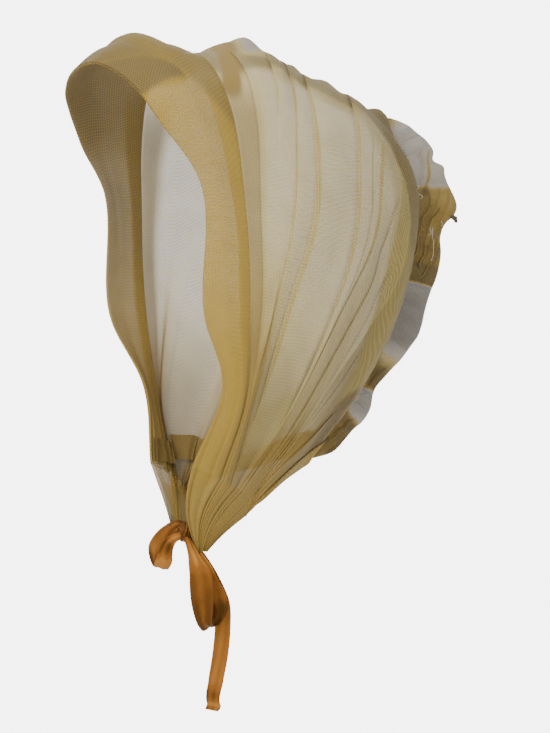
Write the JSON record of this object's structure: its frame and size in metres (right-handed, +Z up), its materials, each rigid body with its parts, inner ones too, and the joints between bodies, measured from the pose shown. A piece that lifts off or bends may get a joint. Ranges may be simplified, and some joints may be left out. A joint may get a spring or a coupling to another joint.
{
  "type": "head scarf",
  "caption": "Sheer gathered net head scarf in its worn shape: wide doubled face band, folded hood, standing back frill, tied under the chin with a satin ribbon bow.",
  "frame": {"origin": "the point inside the crown where the top of the wearer's head sits", "axes": "+Z up through the crown, -Y the way the face looks, +X to the wearer's left"},
  "size_m": [0.1662, 0.2479, 0.3973],
  "materials": {
    "net": "sheer gold net, one layer",
    "double_net": "sheer gold net, two or more layers",
    "satin": "satin ribbon"
  },
  "bodies": {
    "root": {"hood": "net", "face_band": "double_net", "back_hem": "double_net", "back_frill": "net", "chin_gather_near": "double_net", "chin_gather_far": "double_net", "ribbon_knot": "satin", "ribbon_loop_near": "satin", "ribbon_loop_far": "satin", "ribbon_tail": "satin"}
  },
  "joints": []
}
